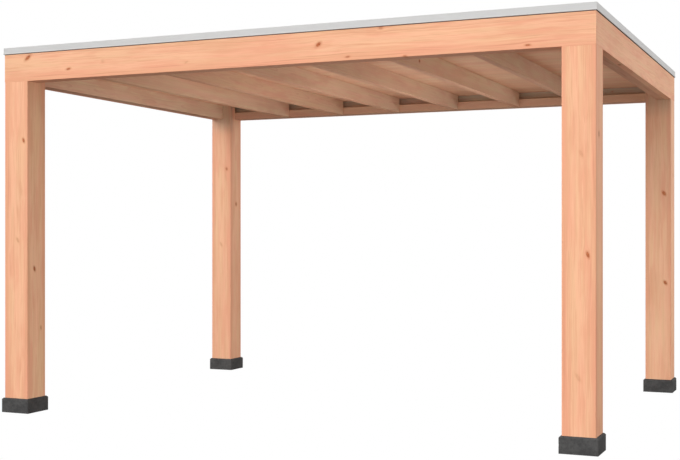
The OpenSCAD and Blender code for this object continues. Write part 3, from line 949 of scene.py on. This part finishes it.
def make_membrane():
    lo_, hi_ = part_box("roof_membrane")
    z_floor_lo, z_rim_hi = lo_.z, hi_.z          # 2.373, 2.465
    # the hem ends 2.6 mm below the trim's foot: a dark strip that stands in for the shade line under the trim (painted
    # shade)
    z_hem_lo = TRIM_FOOT - 2.6 * mm
    t = 2 * mm
    r = 9 * mm                                   # cove at the foot of the upstand

    def axis_points(half_out, half_in):
        """(coordinate, height of the top face) from the outer edge inward."""
        wall = half_in - t
        pts = [(half_out, z_rim_hi), (half_out - 0.022, z_rim_hi), (wall + 1.6 * mm, z_rim_hi),
               (wall + 0.5 * mm, z_rim_hi - 0.5 * mm), (wall, z_rim_hi - 1.6 * mm),
               (wall, (z_rim_hi + z_floor_lo) / 2), (wall, z_floor_lo + t + r)]
        for q in range(1, 5):
            ang = math.pi / 2 * q / 4
            pts.append((wall - r * (1 - math.cos(ang)), z_floor_lo + t + r * (1 - math.sin(ang))))
        return pts

    def axis_full(half_out, half_in, inner):
        side = axis_points(half_out, half_in)
        lim = side[-1][0]
        n = inner
        core = [(-lim + 2 * lim * k / n, z_floor_lo + t) for k in range(1, n)]
        left = [(-a, z) for a, z in side]
        return left + core + [(a, z) for a, z in reversed(side)]

    xs = axis_full(HALF_W, IN_W, 56)
    ys = axis_full(HALF_D, IN_D, 42)

    def under(a, z, half_out, half_in):
        """The lower face's place for a top face point."""
        s = 1 if a > 0 else -1
        m = abs(a)
        wall = half_in - t
        if m >= half_in - 1e-6 and near(z, z_rim_hi, 1e-6):
            return a, z - t
        if m >= wall - 1e-6:
            return s * half_in, min(z, z_rim_hi - t)
        return a, z - t

    rngw = Vector((4.2, 1.1, 7.7))

    def ripple(x, y):
        dx = max(0.0, IN_W - 0.10 - abs(x))
        dy = max(0.0, IN_D - 0.10 - abs(y))
        f = min(1.0, min(dx, dy) / 0.12)
        p = Vector((x * 1.3, y * 1.3, 0)) + rngw
        a = noise.noise(p) * 0.5 + 0.5
        b = noise.noise(p * 3.1) * 0.5 + 0.5
        return f * (1.6 * mm * a + 0.9 * mm * b)

    bm = bmesh.new()
    nx, ny = len(xs), len(ys)
    topv = [[None] * ny for _ in range(nx)]
    lowv = [[None] * ny for _ in range(nx)]
    for i, (x, zx) in enumerate(xs):
        for j, (y, zy) in enumerate(ys):
            z = max(zx, zy)
            rp = ripple(x, y)
            topv[i][j] = bm.verts.new((x, y, z + rp))
            # the lower face follows the top one at the sheet's thickness
            ux, uzx = under(x, zx, HALF_W, IN_W)
            uy, uzy = under(y, zy, HALF_D, IN_D)
            uz = max(uzx, uzy)
            lowv[i][j] = bm.verts.new((ux, uy, min(uz + rp, z + rp - 1e-4)))
    for i in range(nx - 1):
        for j in range(ny - 1):
            bm.faces.new((topv[i][j], topv[i + 1][j], topv[i + 1][j + 1], topv[i][j + 1]))
            bm.faces.new((lowv[i][j], lowv[i][j + 1], lowv[i + 1][j + 1], lowv[i + 1][j]))
    for i in range(nx - 1):
        for j in (0, ny - 1):
            a, b, c, d = topv[i][j], topv[i + 1][j], lowv[i + 1][j], lowv[i][j]
            bm.faces.new((a, d, c, b) if j == 0 else (a, b, c, d))
    for j in range(ny - 1):
        for i in (0, nx - 1):
            a, b, c, d = topv[i][j], topv[i][j + 1], lowv[i][j + 1], lowv[i][j]
            bm.faces.new((a, b, c, d) if i == 0 else (a, d, c, b))

    # the part turned down over the fascia boards, behind the trim, with a cut edge that is not quite straight; it hangs
    # 2.6 mm below the trim's foot as a dark strip, painted shade that stands in for the shadow line under the trim
    hem = z_hem_lo
    stations = []
    for (ax_, ay), (bx_, by_) in (((-1, -1), (1, -1)), ((1, -1), (1, 1)), ((1, 1), (-1, 1)), ((-1, 1), (-1, -1))):
        steps = 120 if ay == by_ else 90
        for k in range(steps):
            f = k / steps
            # the two plan places at this station, in units of the half sizes
            stations.append((ax_ + (bx_ - ax_) * f, ay + (by_ - ay) * f))
    rings_ = []
    for u, v in stations:
        p = Vector((u * HALF_W * 5.0, v * HALF_D * 5.0, 0.0))
        up = 0.5 * mm * max(0.0, min(1.0, noise.noise(p) * 0.9 + noise.noise(p * 4.3) * 0.5 + 0.4))
        outs = ((2.0, hem + 0.5 * mm + up), (2.0, z_rim_hi - 1.4 * mm), (1.6, z_rim_hi - 0.4 * mm),
                (0.6, z_rim_hi), (0.06, z_rim_hi), (0.06, hem + up), (1.5, hem + up))
        rings_.append([bm.verts.new((u * (HALF_W + o * mm), v * (HALF_D + o * mm), z)) for o, z in outs])
    for k in range(len(rings_)):
        a, b = rings_[k], rings_[(k + 1) % len(rings_)]
        for i in range(7):
            j = (i + 1) % 7
            bm.faces.new((a[i], b[i], b[j], a[j]))
    ob = finish_mesh(bm, "vis_roof_membrane", smooth=50)
    ob.modifiers.clear()
    set_grain(ob, lambda c: (c.x, c.y, c.z * 3))
    return give(ob, rubber("roof_rubber"), "membrane", "roof_membrane")


make_membrane()

# ----------------------------------------------------------------- edge trim
MAT_TRIM = aluminium("mill_aluminium")


def arc(cx, cz, r, a0, a1, n):
    return [(cx + r * math.cos(math.radians(a0 + (a1 - a0) * k / n)),
             cz + r * math.sin(math.radians(a0 + (a1 - a0) * k / n))) for k in range(n + 1)]


def trim_profile():
    """The folded sheet: (outward from the fascia's face, height), counterclockwise."""
    t = 2 * mm
    face = TRIM_OUT - 1.5 * mm
    foot, top = TRIM_FOOT, TRIM_TOP
    back = -TRIM_IN
    lip = top - 12 * mm
    ro, ri = 3.0 * mm, 1.0 * mm
    p = []
    # foot of the face: a small drip bead, rounded
    p += [(face - t, foot + 0.6 * mm), (face - t + 0.6 * mm, foot)]
    p += arc(TRIM_OUT - 2.3 * mm, foot + 2.3 * mm, 2.3 * mm, 270, 360, 4)
    p += arc(TRIM_OUT - 1.2 * mm, foot + 4.8 * mm, 1.2 * mm, 0, 50, 3)
    p += [(face + 0.25 * mm, foot + 6.6 * mm), (face, foot + 7.4 * mm)]
    p += arc(face - ro, top - ro, ro, 0, 90, 5)
    p += arc(back + ro, top - ro, ro, 90, 180, 5)
    p += [(back, lip + 0.4 * mm), (back + 0.4 * mm, lip), (back + t - 0.4 * mm, lip), (back + t, lip + 0.4 * mm)]
    p += arc(back + t + ri, top - t - ri, ri, 180, 90, 3)
    p += arc(face - t - ri, top - t - ri, ri, 90, 0, 3)
    return p


def make_trim(side):
    name = "trim_" + side
    prof = trim_profile()
    a, b = (HALF_W, HALF_D) if side in ("front", "back") else (HALF_D, HALF_W)
    gap = 0.15 * mm
    cuts = 12
    bm = bmesh.new()
    rows = []
    for k in range(cuts + 1):
        f = -1 + 2 * k / cuts
        row = []
        for out, z in prof:
            u = f * (a + out - gap)
            w = b + out
            if side == "front":
                co = (u, -w, z)
            elif side == "back":
                co = (-u, w, z)
            elif side == "left":
                co = (-w, -u, z)
            else:
                co = (w, u, z)
            row.append(bm.verts.new(co))
        rows.append(row)
    n = len(prof)
    for k in range(cuts):
        for i in range(n):
            j = (i + 1) % n
            bm.faces.new((rows[k][i], rows[k][j], rows[k + 1][j], rows[k + 1][i]))
    bm.faces.new(rows[0])
    bm.faces.new(list(reversed(rows[-1])))
    ob = finish_mesh(bm, "vis_" + name, smooth=50)
    if side in ("front", "back"):
        set_grain(ob, lambda c: (c.x, c.y, c.z))
    else:
        set_grain(ob, lambda c: (c.y + 7.0, c.x, c.z))
    return give(ob, MAT_TRIM, "edge_trim", name)


for k in ("front", "back", "left", "right"):
    make_trim(k)

# --------------------------------------------------- floor, light and camera
scene.view_settings.view_transform = "Standard"
scene.view_settings.look = "None"

floor_me = bpy.data.meshes.new("floor")
floor_me.from_pydata([(-40, -40, 0), (40, -40, 0), (40, 40, 0), (-40, 40, 0)], [], [(0, 1, 2, 3)])
floor = bpy.data.objects.new("floor", floor_me)
scene.collection.objects.link(floor)
fm = bpy.data.materials.new("pale_floor")
fm.use_nodes = True
nt = fm.node_tree
nt.nodes.clear()
fo = nt.nodes.new("ShaderNodeOutputMaterial")
fd = nt.nodes.new("ShaderNodeBsdfDiffuse")
fc = nt.nodes.new("ShaderNodeMixRGB")
fc.inputs["Color1"].default_value = (0.195, 0.150, 0.128, 1)
fc.inputs["Color2"].default_value = (0.02, 0.02, 0.02, 1)
fe = nt.nodes.new("ShaderNodeEmission")
fe.inputs["Color"].default_value = (1, 1, 1, 1)
fe.inputs["Strength"].default_value = 1.0
lp = nt.nodes.new("ShaderNodeLightPath")
fx = nt.nodes.new("ShaderNodeMixShader")
nt.links.new(lp.outputs["Is Glossy Ray"], fc.inputs["Fac"])
nt.links.new(fc.outputs[0], fd.inputs["Color"])
nt.links.new(lp.outputs["Is Camera Ray"], fx.inputs[0])
nt.links.new(fd.outputs[0], fx.inputs[1])
nt.links.new(fe.outputs[0], fx.inputs[2])
nt.links.new(fx.outputs[0], fo.inputs[0])
floor_me.materials.append(fm)

world = bpy.data.worlds.new("studio")
scene.world = world
world.use_nodes = True
wt_ = world.node_tree
wt_.nodes.clear()
wo = wt_.nodes.new("ShaderNodeOutputWorld")
wa = wt_.nodes.new("ShaderNodeBackground")
wa.inputs["Color"].default_value = (1.0, 0.985, 0.96, 1)
wb = wt_.nodes.new("ShaderNodeBackground")
wb.inputs["Color"].default_value = (1, 1, 1, 1)
wb.inputs["Strength"].default_value = 1.0
wl = wt_.nodes.new("ShaderNodeLightPath")
wx = wt_.nodes.new("ShaderNodeMixShader")
wr = wt_.nodes.new("ShaderNodeMapRange")
wr.inputs["To Min"].default_value = 0.21
wr.inputs["To Max"].default_value = 0.95
wt_.links.new(wl.outputs["Is Glossy Ray"], wr.inputs["Value"])
wt_.links.new(wr.outputs[0], wa.inputs["Strength"])
wt_.links.new(wl.outputs["Is Camera Ray"], wx.inputs[0])
wt_.links.new(wa.outputs[0], wx.inputs[1])
wt_.links.new(wb.outputs[0], wx.inputs[2])
wt_.links.new(wx.outputs[0], wo.inputs[0])



def softbox(name, azimuth, elevation, strength, spread, colour=(1.0, 1.0, 1.0)):
    """A broad far light. azimuth 0 shines from the front, 90 from the right;
    strength 1 makes a white surface that faces it white."""
    data = bpy.data.lights.new(name, "SUN")
    data.energy = math.pi * strength
    data.angle = math.radians(spread)
    data.color = colour
    ob = bpy.data.objects.new(name, data)
    scene.collection.objects.link(ob)
    a, e = math.radians(azimuth), math.radians(elevation)
    source = Vector((math.sin(a) * math.cos(e), -math.cos(a) * math.cos(e), math.sin(e)))
    ob.rotation_euler = (-source).to_track_quat("-Z", "Y").to_euler()
    ob.visible_glossy = False


def panel(name, place, aim, size, watts, colour=(1.0, 1.0, 1.0)):
    """A flat lamp at place that shines along aim, not seen by the camera."""
    data = bpy.data.lights.new(name, "AREA")
    data.shape = "RECTANGLE"
    data.size, data.size_y = size
    data.energy = watts
    data.color = colour
    ob = bpy.data.objects.new(name, data)
    scene.collection.objects.link(ob)
    ob.location = place
    ob.rotation_euler = Vector(aim).to_track_quat("-Z", "Y").to_euler()
    ob.visible_camera = False
    ob.visible_glossy = False


def globe(name, place, radius, watts, colour=(1.0, 1.0, 1.0)):
    """A round lamp that shines all ways, not seen by the camera."""
    data = bpy.data.lights.new(name, "POINT")
    data.shadow_soft_size = radius
    data.energy = watts
    data.color = colour
    ob = bpy.data.objects.new(name, data)
    scene.collection.objects.link(ob)
    ob.location = place
    ob.visible_camera = False
    ob.visible_glossy = False


softbox("key_left", -67, 10, 0.11, 40)
softbox("key_front", 0, 13, 0.337, 40)
softbox("key_front_left", -20, 15, 0.354, 40)
softbox("key_high", -70, 35, 0.60, 50)
softbox("right_fill", 102, 12, 0.470, 50)
softbox("back_high", 180, 45, 0.12, 50)
panel("front_low", (0.5, -6.0, 0.5), (0.0, 1.0, 0.35), (3.0, 1.0), 32.0)
panel("right_low", (5.0, 0.0, 0.6), (-1.0, 0.0, 0.35), (2.0, 2.0), 18.0)
panel("right_back", (4.5, 4.5, 0.7), (-1.0, -1.0, 0.30), (2.0, 1.0), 44.0)
panel("under_mid", (0.35, 0.0, 0.9), (0.0, 0.0, 1.0), (1.6, 1.0), 7.0, (0.92, 1.0, 1.04))
panel("under_left", (-1.0, 0.0, 0.9), (0.0, 0.0, 1.0), (1.0, 1.0), 6.2, (0.92, 1.0, 1.04))
globe("under_globe", (0.7, 0.0, 1.5), 0.4, 5.6, (0.92, 1.0, 1.04))
globe("corner_globe", (1.50, 0.60, 1.6), 0.3, 0.8, (0.70, 1.0, 1.15))

cam = bpy.data.cameras.new("camera")
co = bpy.data.objects.new("camera", cam)
scene.collection.objects.link(co)
co.location = (3.2955, -7.9264, 1.1986)
co.rotation_euler = (math.radians(90), 0.0, 0.4126)
cam.sensor_fit = "HORIZONTAL"
cam.sensor_width = 36.0
cam.lens = 62.495
cam.shift_x = 0.0
cam.shift_y = 0.00767
cam.clip_end = 200
scene.camera = co
